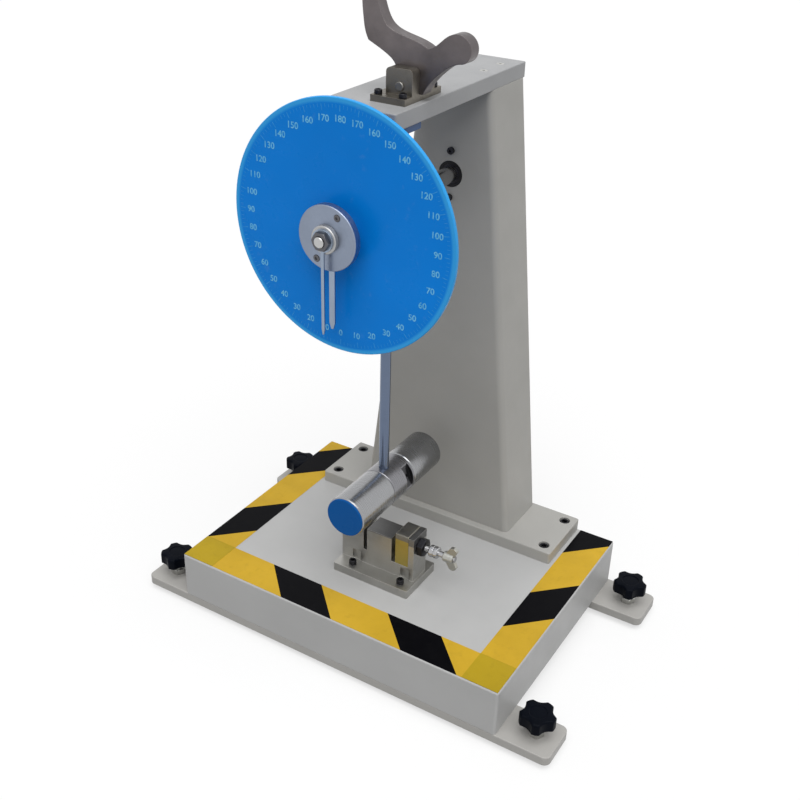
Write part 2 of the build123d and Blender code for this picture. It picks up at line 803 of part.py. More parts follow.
def pendulum_hub_grub_screw():
    z0 = axis_z + shaft_r
    screw = bar_z(0, swing_y, hub_grub_r, z0, z0 + hub_grub_len)
    key = extrude(RegularPolygon(hub_grub_key_r, 6), hub_grub_len)
    return screw - Pos(0, swing_y, z0 + hub_grub_len - hub_grub_key_depth) * key


def pendulum_rod():
    top = axis_z - pend_neck_drop + rod_seat
    bottom = hammer_z - rod_r
    rod = bar_z(0, swing_y, rod_r, bottom, top)
    return chamfer(rod.edges().filter_by(GeomType.CIRCLE), rod_edge)


def hammer_front():
    body = bar_y(0, hammer_z, hammer_r, hammer_y0, hammer_clamp_y0)
    body = chamfer(body.edges().filter_by(GeomType.CIRCLE), hammer_edge)
    end = hammer_clamp_y0 + front_spigot_len
    return body + bar_y(0, hammer_z, front_spigot_r, hammer_clamp_y0 - overcut, end)


def hammer_clamp():
    """Middle block: rod from above, a cylinder at each end, striker notch in its right side."""
    body = bar_y(0, hammer_z, hammer_r, hammer_clamp_y0, hammer_clamp_y1)
    body = chamfer(body.edges().filter_by(GeomType.CIRCLE), hammer_edge)
    body -= bar_z(0, swing_y, rod_r, hammer_z - rod_r, hammer_z + hammer_r + overcut)
    body -= bar_y(0, hammer_z, front_spigot_r, hammer_clamp_y0 - overcut,
                  hammer_clamp_y0 + front_spigot_len)
    body -= bar_y(0, hammer_z, rear_spigot_r, hammer_clamp_y1 - rear_spigot_len,
                  hammer_clamp_y1 + overcut)
    body -= at_notch(Pos(2 * hammer_r - notch_depth, 0, 0) * Box(2 * hammer_r, notch_w, 2 * hammer_r))
    return body - clamp_grub_solid(clamp_grub_r + thread_gap, rear_spigot_r - overcut, hammer_r)


def at_notch(shape):
    """Moves a shape drawn round the hammer's axis to the striker notch's place and angle."""
    return Pos(0, notch_y, hammer_z) * Rot(0, -notch_deg, 0) * shape


def clamp_grub_solid(r, r0, r1):
    """A round bar running out from the hammer's axis through the middle of the notch."""
    return at_notch(bar_x(0, 0, r, r0, r1))


def hammer_grub_screw():
    outer = hammer_r - notch_depth - clamp_grub_sink
    screw = clamp_grub_solid(clamp_grub_r, rear_spigot_r + running_gap, outer)
    return screw - clamp_grub_solid(clamp_grub_key_r, outer - clamp_grub_key_depth, hammer_r)


def hammer_rear():
    body = bar_y(0, hammer_z, hammer_r, hammer_clamp_y1, hammer_y1)
    body = chamfer(body.edges().filter_by(GeomType.CIRCLE), hammer_edge)
    start = hammer_clamp_y1 - rear_spigot_len
    return body + bar_y(0, hammer_z, rear_spigot_r, start, hammer_clamp_y1 + overcut)


def hammer_face():
    face = bar_y(0, hammer_z, hammer_face_r, hammer_y0 - hammer_face_t, hammer_y0)
    return chamfer(face.edges().filter_by(GeomType.CIRCLE).sort_by(Axis.Y)[0], hammer_face_edge)


# Release lever

def lever_bracket():
    bracket = block(bracket_x0, bracket_x1, bracket_y0, bracket_y1, arm_top, bracket_top)
    inner = lever_t / 2 + face_gap
    for side in (-1, 1):
        near = swing_y + side * inner
        far = swing_y + side * (inner + ear_t)
        ear = block(ear_x0, bracket_x1, min(near, far), max(near, far), arm_top, ear_top)
        crown = ear.edges().filter_by(Axis.Y).group_by(Axis.Z)[-1]
        bracket += fillet(crown, ear_crown_r)
    bracket -= bar_y(lever_pin_x, lever_pin_z, lever_pin_r, bracket_y0, bracket_y1)
    for x, y in bracket_screw_spots():
        bracket -= bar_z(x, y, bracket_screw_r + thread_gap, arm_top - overcut, bracket_top + overcut)
    return bracket


def bracket_screws():
    screw = socket_screw(bracket_head_r, bracket_head_h, bracket_screw_r,
                         bracket_t + bracket_screw_depth)
    return group(Pos(x, y, bracket_top) * screw for x, y in bracket_screw_spots())


def lever_pin():
    reach = lever_t / 2 + face_gap + ear_t + lever_pin_out
    pin = bar_y(lever_pin_x, lever_pin_z, lever_pin_r, swing_y - reach, swing_y + reach)
    return chamfer(pin.edges().filter_by(GeomType.CIRCLE), shaft_edge)


def lever_points(*shares):
    """Outline points given from the pin, as shares of the lever's reach and rise."""
    return [(lever_pin_x + x * lever_reach, lever_pin_z + z * lever_rise) for x, z in shares]


def release_lever():
    """Curved trip lever: swept-up horn on the left, V notch, round head on the right."""
    heel_x = lever_pin_x + lever_heel_w
    boss_low = (lever_pin_x, lever_pin_z - lever_boss_r)
    boss_left = (lever_pin_x - lever_boss_r, lever_pin_z)
    boss_step = lever_boss_r * math.sqrt(0.5)
    horn_back = lever_points((-0.589, 0.949), (-0.493, 0.737), (-0.370, 0.571), (-0.041, 0.470),
        (0.321, 0.382))
    head = lever_points((0.321, 0.382), (0.479, 0.444), (0.630, 0.535), (0.781, 0.568),
        (0.932, 0.525), (1.000, 0.424), (0.959, 0.323), (0.836, 0.278))
    under_head = lever_points((0.836, 0.278), (0.671, 0.232), (0.507, 0.141), (0.370, 0.040))
    neck = lever_points((-0.171, 0.111), (-0.229, 0.201), (-0.356, 0.273), (-0.521, 0.335),
        (-0.664, 0.384))
    horn_front = lever_points((-0.664, 0.384), (-0.719, 0.475), (-0.753, 0.616), (-0.774, 0.778),
        (-0.753, 0.939))
    tip = lever_points((-0.753, 0.939), (-0.675, 1.000), (-0.589, 0.949))
    heel = (heel_x, bracket_top)
    foot = Polyline(heel, (lever_pin_x + lever_pin_r, bracket_top), boss_low)
    boss = ThreePointArc(boss_low, (lever_pin_x - boss_step, lever_pin_z - boss_step), boss_left)
    outline = Curve() + [Spline(*horn_back), Spline(*head), Spline(*under_head, heel), foot, boss,
                         Spline(boss_left, *neck), Spline(*horn_front), ThreePointArc(*tip)]
    face = make_face(Plane.XZ * outline)
    lever = Pos(0, swing_y, 0) * extrude(face, lever_t / 2, both=True)
    return lever - bar_y(lever_pin_x, lever_pin_z, lever_pin_r + running_gap,
                         swing_y - lever_t, swing_y + lever_t)


# Vise

def vise_body():
    """One milled block: flange, fixed jaw with a relief slot, keyed jaw bed and screw wall."""
    body = block(vise_x0, vise_x1, vise_y0, vise_y1, base_z1, vise_top)
    body = fillet(body.edges().filter_by(Axis.Z), vise_corner_r)
    upper = block(vise_x0, wall_x1, body_y0, body_y1, vise_top - overcut, wall_top)
    upper -= block(vise_x0 - overcut, wall_x0, body_y0 - overcut, body_y1 + overcut, fixed_top, wall_top + overcut)
    upper -= block(relief_x - relief_w / 2, relief_x + relief_w / 2, body_y0 - overcut, body_y1 + overcut,
                   relief_floor, fixed_top + overcut)
    upper -= block(gap_x0, wall_x0, body_y0 - overcut, body_y1 + overcut, gap_floor, wall_top + overcut)
    upper += block(gap_x0 - overcut, wall_x0 + overcut, clamp_y - key_w / 2, clamp_y + key_w / 2,
                   gap_floor - overcut, gap_floor + key_h)
    body += upper
    for x, y in vise_screw_spots():
        body -= bar_z(x, y, vise_screw_r + thread_gap, base_z1 - overcut, vise_top + overcut)
        body -= bar_z(x, y, vise_pocket_r if y < body_y0 else vise_head_r + vise_head_gap,
                      vise_top, vise_top + vise_pocket_up)
    return body - bar_x(clamp_y, clamp_z, clamp_r + running_gap, wall_x0 - overcut, wall_x1 + overcut)


def vise_screws():
    screw = socket_screw(vise_head_r, vise_head_h, vise_screw_r,
                         vise_plate_t + sheet + backing_t - screw_end_gap)
    return group(Pos(x, y, vise_top) * screw for x, y in vise_screw_spots())


def vise_jaw():
    jaw = block(jaw_x0, jaw_x1, body_y0 + jaw_side_gap, body_y1 - jaw_side_gap,
                gap_floor, jaw_top)
    jaw = chamfer(jaw.faces().sort_by(Axis.Z)[-1].edges(), jaw_edge)
    half = key_w / 2 + key_gap
    jaw -= block(jaw_x0 - overcut, jaw_x1 + overcut, clamp_y - half, clamp_y + half,
                 gap_floor - overcut, gap_floor + key_h + key_gap)
    return jaw - bar_x(clamp_y, clamp_z, clamp_r + running_gap, jaw_x1 - clamp_seat, jaw_x1 + overcut)


def vise_clamp_screw():
    screw = bar_x(clamp_y, clamp_z, clamp_r, jaw_x1 - clamp_seat, clamp_end_x)
    screw += chamfer(bar_x(clamp_y, clamp_z, clamp_collar_r, clamp_collar_x0,
                           clamp_collar_x1).edges().filter_by(GeomType.CIRCLE), wing_hub_edge)
    return screw


def vise_clamp_nut():
    nut = hexagon(clamp_nut_af, clamp_nut_w)
    nut -= bar_z(0, 0, clamp_r + running_gap, -overcut, clamp_nut_w + overcut)
    return Pos(wall_x1, clamp_y, clamp_z) * Rot(0, 90, 0) * nut


def vise_wing_knob():
    """Wing knob: a round hub with two swept-back wings."""
    hub = bar_x(0, 0, wing_hub_r, 0, wing_hub_len)
    hub = chamfer(hub.edges().filter_by(GeomType.CIRCLE), wing_hub_edge)
    root = wing_hub_r / 2
    outer = wing_hub_len + wing_sweep
    wing = make_face(Polyline((wing_hub_edge * 2, root), (wing_hub_r + 2, wing_reach - 1),
                              (wing_hub_len, wing_reach), (outer - 1, wing_reach - wing_sweep / 2),
                              (outer, wing_reach - wing_sweep), (wing_hub_len + 1, root),
                              close=True))
    wing = extrude(wing, wing_t / 2, both=True)
    wing = fillet(wing.edges().filter_by(Axis.Z), wing_corner_r)
    knob = hub + Rot(90, 0, 0) * wing + Rot(-90, 0, 0) * wing
    knob -= bar_x(0, 0, clamp_r, -overcut, clamp_end_x - wing_x0)
    return Pos(wing_x0, clamp_y, clamp_z) * knob


nodes = {
    "base_shell": base_shell,
    "backing_plates": backing_plates,
    "foot_bar_front": lambda: foot_bar(foot_y[0]),
    "foot_bar_rear": lambda: foot_bar(foot_y[1]),
    "foot_bar_bolts": foot_bar_bolts,
    "foot_bar_nuts": foot_bar_nuts,
    "levelling_lock_nuts": levelling_lock_nuts,
    "column_foot_plate": column_foot_plate,
    "column_foot_bolts": column_foot_bolts,
    "column_shell": column_shell,
    "column_bearing_housing": column_bearing_housing,
    "bearing_outer_rings": bearing_outer_rings,
    "bearing_inner_rings": bearing_inner_rings,
    "column_bearing_screws": column_bearing_screws,
    "arm_plate": arm_plate,
    "arm_screws": arm_screws,
    "hanger_plate": hanger_plate,
    "hanger_bolts": hanger_bolts,
    "dial_support_sleeve": dial_support_sleeve,
    "sleeve_screws": sleeve_screws,
    "dial_disc": dial_disc,
    "dial_retaining_ring": dial_retaining_ring,
    "felt_washer": felt_washer,
    "drag_pointer_hub": drag_pointer_hub,
    "drag_hub_screws": drag_hub_screws,
    "drag_pointer": drag_pointer,
    "pointer_collar": pointer_collar,
    "driving_pointer": driving_pointer,
    "pointer_nut": pointer_nut,
    "pendulum_shaft": pendulum_shaft,
    "pendulum_hub": pendulum_hub,
    "pendulum_hub_grub_screw": pendulum_hub_grub_screw,
    "pendulum_rod": pendulum_rod,
    "hammer_front": hammer_front,
    "hammer_clamp": hammer_clamp,
    "hammer_grub_screw": hammer_grub_screw,
    "hammer_rear": hammer_rear,
    "hammer_face": hammer_face,
    "lever_bracket": lever_bracket,
    "bracket_screws": bracket_screws,
    "lever_pin": lever_pin,
    "release_lever": release_lever,
    "vise_body": vise_body,
    "vise_screws": vise_screws,
    "vise_jaw": vise_jaw,
    "vise_clamp_screw": vise_clamp_screw,
    "vise_clamp_nut": vise_clamp_nut,
    "vise_wing_knob": vise_wing_knob,
}

corners = {"front_left": (-foot_x, foot_y[0]), "front_right": (foot_x, foot_y[0]),
           "rear_left": (-foot_x, foot_y[1]), "rear_right": (foot_x, foot_y[1])}
for place, (cx, cy) in corners.items():
    nodes["levelling_pad_" + place] = lambda x=cx, y=cy: levelling_pad(x, y)
    nodes["levelling_stud_" + place] = lambda x=cx, y=cy: levelling_stud(x, y)
    nodes["star_knob_" + place] = lambda x=cx, y=cy: star_knob(x, y)

for name, make in nodes.items():
    shape = Pos(0, shift_y, shift_z) * make()
    export_step(shape, "parts/" + name + ".step")
print(len(nodes), "nodes written")
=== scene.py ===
import json
import math

import bmesh
import bpy
from mathutils import Matrix, Vector

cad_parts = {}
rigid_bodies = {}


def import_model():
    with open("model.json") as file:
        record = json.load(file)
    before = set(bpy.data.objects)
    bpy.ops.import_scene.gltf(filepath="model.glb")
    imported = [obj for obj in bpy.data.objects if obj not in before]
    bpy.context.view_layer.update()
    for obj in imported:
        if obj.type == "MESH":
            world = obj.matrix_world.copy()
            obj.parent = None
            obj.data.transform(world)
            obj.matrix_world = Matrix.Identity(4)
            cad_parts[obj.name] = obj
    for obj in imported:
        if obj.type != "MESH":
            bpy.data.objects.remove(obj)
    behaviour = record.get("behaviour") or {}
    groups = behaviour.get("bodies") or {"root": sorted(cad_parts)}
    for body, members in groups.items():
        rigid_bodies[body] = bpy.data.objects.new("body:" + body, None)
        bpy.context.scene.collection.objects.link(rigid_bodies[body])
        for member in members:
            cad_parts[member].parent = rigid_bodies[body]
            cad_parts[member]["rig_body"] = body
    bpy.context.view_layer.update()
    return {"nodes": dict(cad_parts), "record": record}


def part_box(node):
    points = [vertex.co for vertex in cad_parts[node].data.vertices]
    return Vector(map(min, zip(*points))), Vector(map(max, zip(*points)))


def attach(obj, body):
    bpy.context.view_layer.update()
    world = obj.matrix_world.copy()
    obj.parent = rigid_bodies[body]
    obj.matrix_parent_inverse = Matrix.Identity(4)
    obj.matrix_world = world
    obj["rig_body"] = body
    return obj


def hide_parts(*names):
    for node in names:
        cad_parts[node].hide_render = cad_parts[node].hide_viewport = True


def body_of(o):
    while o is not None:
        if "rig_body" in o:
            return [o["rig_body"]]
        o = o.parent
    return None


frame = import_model()
nodes = frame["nodes"]

# Places in metres, in the shared frame
base_low, base_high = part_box("base_shell")
dial_low, dial_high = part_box("dial_disc")
clamp_low, clamp_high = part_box("hammer_clamp")
FRONT = base_low[1]
BASE_TOP = base_high[2]
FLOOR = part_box("foot_bar_front")[0][2]
AXIS_Z = (dial_low[2] + dial_high[2]) / 2
DIAL_FRONT = dial_low[1]
VISE_CAP_H = 0.0113
JAW_CAP_H = 0.0085
VISE_CAP_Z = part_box("vise_body")[1][2] - VISE_CAP_H
JAW_CAP_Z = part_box("vise_jaw")[1][2] - JAW_CAP_H

# Camera, from the photograph: picture size, focal length in pixels, place and directions
PICTURE_PX = 800.0
FOCAL_PX = 1106.0
SENSOR_MM = 36.0
CAMERA_PLACE = (0.649, -0.912, 1.048)
CAMERA_NEARER = 0.96
CAMERA_FORWARD = (-0.448, 0.745, -0.494)
CAMERA_RIGHT = (0.850, 0.526, 0.023)

# Hazard tape on the base: its edge gap, width and thickness, and where its black bands run
TAPE_INSET = 0.0015
TAPE_WIDTH = 0.050
TAPE_BUTT = 0.0004
TAPE_T = 0.00028
TAPE_LAP_T = 0.00052
TAPE_GLUE = 0.00002
FRONT_BANDS = [(-0.0740, 0.0040), (0.1065, 0.1850)]
LEFT_BANDS = [(0.2867, 0.3690), (0.4733, 0.5520)]
RIGHT_BANDS = [(-0.0820, -0.0030), (0.0980, 0.1780)]

# Dial print: radii of the ticks, and the numbers' radius, height and weight
PRINT_LIFT = 0.00012
TICK_DEG = 2
NUMBER_DEG = 10
TICK_OUTER_R = 0.1328
LONG_TICK_R = 0.1262
SHORT_TICK_R = 0.1292
LONG_TICK_HALF = 0.00045
SHORT_TICK_HALF = 0.00025
NUMBER_R = 0.1185
NUMBER_SIZE = 0.0098
NUMBER_WEIGHT = 0.00018
# Painted highlight: inner and outer radius of a paler band near the dial's rim.
RIM_HIGHLIGHT_BAND = (0.1335, 0.1365)

# Fasteners: head radius, head height and shank radius of each set of socket screws
SOCKET_SCREWS = {
    "bracket_screws": (0.00425, 0.005, 0.0025),
    "vise_screws": (0.005, 0.006, 0.003),
    "column_foot_bolts": (0.0065, 0.008, 0.004),
}
LOCK_NUT_AF = 0.017
LOCK_NUT_BORE = 0.0052
CLAMP_NUT_AF = 0.022
CLAMP_NUT_BORE = 0.0042
POINTER_NUT_AF = 0.019
POINTER_NUT_BORE = 0.0060
ROUND_STEPS = 32
NUT_STEPS = 48
SCREW_STEPS = 72
KNOB_STEPS = 120

# Levelling feet
KNOB_R = 0.0225
KNOB_LOBES = 5
KNOB_HOLE_DEPTH = 0.012
STUD_R = 0.005
STUD_PITCH = 0.0015
STUD_STEP_BELOW = 0.0005
PIN_R = 0.00395
PIN_TIP_R = 0.0035
PIN_TIP_H = 0.0005

# Vise screw
CLAMP_R = 0.004
CLAMP_PITCH = 0.00125
COLLAR_OUT = 0.0065
COLLAR_LEN = 0.0125
COLLAR_R = 0.008
COLLAR_END_R = 0.0068
COLLAR_GROOVE_R = 0.0074
COLLAR_EDGE = 0.0012
COLLAR_LIP = 0.005
COLLAR_SLOPE = 0.0006

# Light: an even sky, one soft sun from above on the right, and a floor that shows white
SKY_DIFFUSE = 0.42
KEY_LEVEL = 0.73
KEY_FROM = (0.26, -0.305, 0.916)
KEY_SPREAD_DEG = 60.0
FLOOR_DIFFUSE = 0.35
FLOOR_LIFT = 0.63
FLOOR_HALF = 6.0
FLOOR_Z = -0.0002


def make_camera():
    """A camera at the photograph's place and direction."""
    data = bpy.data.cameras.new("camera")
    data.sensor_width = SENSOR_MM
    data.lens = FOCAL_PX / PICTURE_PX * SENSOR_MM
    data.clip_start = 0.05
    data.clip_end = 50.0
    cam = bpy.data.objects.new("camera", data)
    bpy.context.scene.collection.objects.link(cam)
    forward = Vector(CAMERA_FORWARD).normalized()
    right = Vector(CAMERA_RIGHT)
    right = (right - forward * right.dot(forward)).normalized()
    up = right.cross(forward)
    place = Vector(CAMERA_PLACE) * CAMERA_NEARER + Vector((0.0, FRONT, FLOOR))
    turn = Matrix((right, up, -forward)).transposed().to_4x4()
    cam.matrix_world = Matrix.Translation(place) @ turn
    bpy.context.scene.camera = cam


# Materials

class Shade:
    """A material with a Principled shader and short helpers for its nodes."""

    def __init__(self, name, color, metallic=0.0, rough=0.5, gloss=0.5):
        self.mat = bpy.data.materials.new(name)
        self.mat.use_nodes = True
        self.mat.diffuse_color = (*color, 1.0)
        self.tree = self.mat.node_tree
        self.bsdf = self.tree.nodes["Principled BSDF"]
        self.bsdf.inputs["Base Color"].default_value = (*color, 1.0)
        self.bsdf.inputs["Metallic"].default_value = metallic
        self.bsdf.inputs["Roughness"].default_value = rough
        self.bsdf.inputs["Specular IOR Level"].default_value = gloss
        self.coords = self.add("ShaderNodeTexCoord")

    def add(self, kind, **values):
        node = self.tree.nodes.new(kind)
        for key, value in values.items():
            if key in node.inputs:
                node.inputs[key].default_value = value
            else:
                setattr(node, key, value)
        return node

    def link(self, a, b):
        self.tree.links.new(a, b)

    def scaled(self, scale):
        mapping = self.add("ShaderNodeMapping")
        mapping.inputs["Scale"].default_value = scale
        self.link(self.coords.outputs["Object"], mapping.inputs["Vector"])
        return mapping.outputs["Vector"]

    def noise(self, scale, detail=3.0, stretch=(1.0, 1.0, 1.0), rough=0.55):
        node = self.add("ShaderNodeTexNoise")
        node.inputs["Scale"].default_value = scale
        node.inputs["Detail"].default_value = detail
        node.inputs["Roughness"].default_value = rough
        self.link(self.scaled(stretch), node.inputs["Vector"])
        return node.outputs["Fac"]

    def ramp(self, fac, stops):
        node = self.add("ShaderNodeValToRGB")
        ramp = node.color_ramp
        while len(ramp.elements) < len(stops):
            ramp.elements.new(0.5)
        for element, (at, value) in zip(ramp.elements, stops):
            element.position = at
            element.color = value if len(value) == 4 else (*value, 1.0)
        self.link(fac, node.inputs["Fac"])
        return node.outputs["Color"]

    def span(self, fac, low, high, out_low, out_high):
        node = self.add("ShaderNodeMapRange")
        for key, value in (("From Min", low), ("From Max", high),
                           ("To Min", out_low), ("To Max", out_high)):
            node.inputs[key].default_value = value
        self.link(fac, node.inputs["Value"])
        return node.outputs["Result"]

    def mix(self, fac, a, b, blend="MIX"):
        node = self.add("ShaderNodeMix", data_type="RGBA", blend_type=blend)
        if isinstance(fac, float):
            node.inputs[0].default_value = fac
        else:
            self.link(fac, node.inputs[0])
        for socket, value in ((node.inputs[6], a), (node.inputs[7], b)):
            if isinstance(value, tuple):
                socket.default_value = (*value, 1.0)
            else:
                self.link(value, socket)
        return node.outputs[2]

    def math(self, op, a, b):
        node = self.add("ShaderNodeMath", operation=op)
        for socket, value in ((node.inputs[0], a), (node.inputs[1], b)):
            if isinstance(value, (int, float)):
                socket.default_value = value
            else:
                self.link(value, socket)
        return node.outputs[0]

    def across(self, middle):
        """Distance from a line along Y through a point."""
        shift = self.add("ShaderNodeVectorMath", operation="SUBTRACT")
        self.link(self.coords.outputs["Object"], shift.inputs[0])
        shift.inputs[1].default_value = middle
        flat = self.add("ShaderNodeVectorMath", operation="MULTIPLY")
        self.link(shift.outputs[0], flat.inputs[0])
        flat.inputs[1].default_value = (1.0, 0.0, 1.0)
        length = self.add("ShaderNodeVectorMath", operation="LENGTH")
        self.link(flat.outputs[0], length.inputs[0])
        return length.outputs["Value"]

    def edges(self, radius):
        """1 near sharp edges, 0 on flat faces."""
        bevel = self.add("ShaderNodeBevel", samples=4)
        bevel.inputs["Radius"].default_value = radius
        geometry = self.add("ShaderNodeNewGeometry")
        dot = self.add("ShaderNodeVectorMath", operation="DOT_PRODUCT")
        self.link(bevel.outputs["Normal"], dot.inputs[0])
        self.link(geometry.outputs["True Normal"], dot.inputs[1])
        return self.span(dot.outputs["Value"], 0.995, 0.86, 0.0, 1.0)

    def finish(self, color=None, rough=None, height=None, bump=0.1, distance=0.0002,
               round_r=0.0005):
        """Links colour, roughness, rounded edges and relief, and returns the material."""
        if color is not None:
            self.link(color, self.bsdf.inputs["Base Color"])
        if rough is not None:
            self.link(rough, self.bsdf.inputs["Roughness"])
        normal = None
        if round_r:
            bevel = self.add("ShaderNodeBevel", samples=4)
            bevel.inputs["Radius"].default_value = round_r
            normal = bevel.outputs["Normal"]
        if height is not None:
            node = self.add("ShaderNodeBump")
            node.inputs["Strength"].default_value = bump
            node.inputs["Distance"].default_value = distance
            self.link(height, node.inputs["Height"])
            if normal is not None:
                self.link(normal, node.inputs["Normal"])
            normal = node.outputs["Normal"]
        if normal is not None:
            self.link(normal, self.bsdf.inputs["Normal"])
        return self.mat


def tone(color, factor):
    return tuple(min(1.0, c * factor) for c in color)


def paint(name, color, rough=0.42, peel=0.12, wear=0.5, round_r=0.0012, dust=0.06, gloss=0.3):
    """Powder coat: orange peel, faint mottling, edges lighter by rubbed wear and a painted
    highlight, dusty low spots.
    """
    s = Shade(name, color, 0.0, rough, gloss)
    mottle = s.ramp(s.noise(9.0, 4.0), [(0.3, tone(color, 0.95)), (0.7, tone(color, 1.04))])
    spots = s.span(s.noise(60.0, 5.0), 0.62, 0.75, 0.0, dust)
    colour = s.mix(spots, mottle, tone(color, 0.72))
    # Edges made lighter: partly rubbed wear in patches, partly a painted highlight along every
    # edge.
    edge_wear_and_highlight = s.math("MULTIPLY", s.edges(0.0012), s.span(s.noise(140.0, 4.0), 0.45, 0.6, 0.1, wear))
    colour = s.mix(edge_wear_and_highlight, colour, tone(color, 1.25))
    roughness = s.span(s.noise(35.0, 3.0), 0.3, 0.7, rough - 0.05, rough + 0.08)
    peel_height = s.noise(900.0, 2.0)
    return s.finish(colour, roughness, peel_height, peel, 0.0003, round_r)


def metal(name, color, rough=0.3, brush=(1.0, 1.0, 1.0), scale=300.0, strength=0.06,
          patch=0.1, round_r=0.0005, stain=0.12):
    """Worked metal: directional tool marks, uneven sheen, a painted highlight on its edges and a
    few stains.
    """
    s = Shade(name, color, 1.0, rough)
    marks = s.noise(scale, 4.0, brush)
    clouds = s.noise(22.0, 4.0)
    dull, bright = tone(color, 1.0 - patch), tone(color, 1.0 + patch * 0.6)
    colour = s.ramp(clouds, [(0.3, dull), (0.7, bright)])
    dirt = s.span(s.noise(75.0, 6.0), 0.58, 0.74, 0.0, stain)
    colour = s.mix(dirt, colour, tone(color, 0.45))
    # Painted highlight: every edge made lighter.
    colour = s.mix(s.math("MULTIPLY", s.edges(0.0007), 0.35), colour, tone(color, 1.5))
    base = s.span(marks, 0.3, 0.7, rough - 0.07, rough + 0.09)
    roughness = s.math("ADD", base, s.span(clouds, 0.3, 0.7, -0.03, 0.06))
    return s.finish(colour, roughness, marks, strength, 0.0002, round_r)


def turned(name, color, rough=0.2, along=1, rings=1400.0, strength=0.05, patch=0.06, core=None):
    """Lathe-turned metal: fine rings square to its axis over a soft sheen.

    core is (middle, radius) of a bar along Y: what lies inside that radius is darkened with painted
    shade.
    """
    s = Shade(name, color, 1.0, rough)
    stretch = [0.02, 0.02, 0.02]
    stretch[along] = 1.0
    rings_out = s.noise(rings, 2.0, tuple(stretch))
    clouds = s.noise(28.0, 4.0)
    colour = s.ramp(clouds, [(0.3, tone(color, 1.0 - patch)), (0.7, tone(color, 1.03))])
    smear = s.span(s.noise(48.0, 6.0), 0.55, 0.75, 0.0, 0.16)
    colour = s.mix(smear, colour, tone(color, 0.6))
    if core:
        # Painted shade: faces that lie inside the bar's radius, such as end faces and recesses, are
        # darkened.
        inner_painted_shade = s.span(s.across(core[0]), core[1] - 0.0012, core[1] - 0.0004, 1.0, 0.0)
        colour = s.mix(inner_painted_shade, colour, tone(color, 0.25))
    roughness = s.math("ADD", s.span(rings_out, 0.3, 0.7, rough - 0.05, rough + 0.05),
                       s.span(clouds, 0.3, 0.7, -0.03, 0.05))
    return s.finish(colour, roughness, rings_out, strength, 0.0001, 0.0006)


def plastic(name, color, rough=0.45, grain=500.0, strength=0.1, round_r=0.0008, gloss=0.2):
    """Moulded plastic: fine grain, edges lighter by scuffs and a painted highlight, slight sheen
    changes.
    """
    s = Shade(name, color, 0.0, rough, gloss)
    clouds = s.noise(30.0, 3.0)
    colour = s.ramp(clouds, [(0.3, tone(color, 0.85)), (0.7, tone(color, 1.15))])
    # Edges made lighter: partly scuffs in patches, partly a painted highlight along every edge.
    scuff_and_highlight = s.math("MULTIPLY", s.edges(0.001), s.span(s.noise(220.0, 4.0), 0.5, 0.62, 0.05, 0.4))
    colour = s.mix(scuff_and_highlight, colour, tuple(min(1.0, c * 2.0 + 0.015) for c in color))
    roughness = s.span(clouds, 0.3, 0.7, rough - 0.06, rough + 0.08)
    return s.finish(colour, roughness, s.noise(grain, 3.0), strength, 0.0002, round_r)


def capped_metal(name, color, cap_color, cap_z):
    """Milled metal that is ground above a height, and darker and a little rougher there, at the top
    of a vise.
    """
    s = Shade(name, color, 1.0, 0.36)
    marks = s.noise(300.0, 4.0, (0.06, 1.0, 1.0))
    clouds = s.noise(24.0, 4.0)
    place = s.add("ShaderNodeSeparateXYZ")
    s.link(s.coords.outputs["Object"], place.inputs[0])
    wander = s.math("MULTIPLY", s.math("SUBTRACT", clouds, 0.5), 0.003)
    height = s.math("ADD", place.outputs["Z"], wander)
    cap = s.span(height, cap_z - 0.0006, cap_z + 0.0006, 0.0, 1.0)
    body = s.ramp(clouds, [(0.3, tone(color, 0.9)), (0.7, tone(color, 1.06))])
    colour = s.mix(cap, body, s.ramp(clouds, [(0.3, tone(cap_color, 0.85)), (0.7, cap_color)]))
    dirt = s.span(s.noise(75.0, 6.0), 0.58, 0.74, 0.0, 0.22)
    colour = s.mix(dirt, colour, tone(color, 0.4))
    # Painted highlight: every edge made lighter.
    colour = s.mix(s.math("MULTIPLY", s.edges(0.0007), 0.35), colour, tone(color, 1.4))
    roughness = s.math("ADD", s.span(marks, 0.3, 0.7, 0.29, 0.45), s.math("MULTIPLY", cap, 0.06))
    return s.finish(colour, roughness, marks, 0.06, 0.0002, 0.0008)


def dial_material():
    """Blue acrylic sheet with a paler band of painted highlight near its rim."""
    blue = (0.001, 0.238, 0.820)
    rim_highlight = (0.040, 0.400, 0.900)
    s = Shade("dial_acrylic", blue, 0.0, 0.28, 0.12)
    # Painted highlight: a paler band near the rim.
    rim_highlight_band = s.span(s.across((0.0, DIAL_FRONT, AXIS_Z)), *RIM_HIGHLIGHT_BAND, 0.0, 1.0)
    clouds = s.ramp(s.noise(6.0, 3.0), [(0.3, tone(blue, 0.93)), (0.7, tone(blue, 1.07))])
    colour = s.mix(rim_highlight_band, clouds, rim_highlight)
    dust = s.span(s.noise(90.0, 6.0), 0.64, 0.76, 0.0, 0.05)
    colour = s.mix(dust, colour, (0.5, 0.6, 0.7))
    roughness = s.span(s.noise(25.0, 4.0), 0.3, 0.7, 0.24, 0.36)
    return s.finish(colour, roughness, s.noise(260.0, 2.0), 0.02, 0.0001, 0.0006)


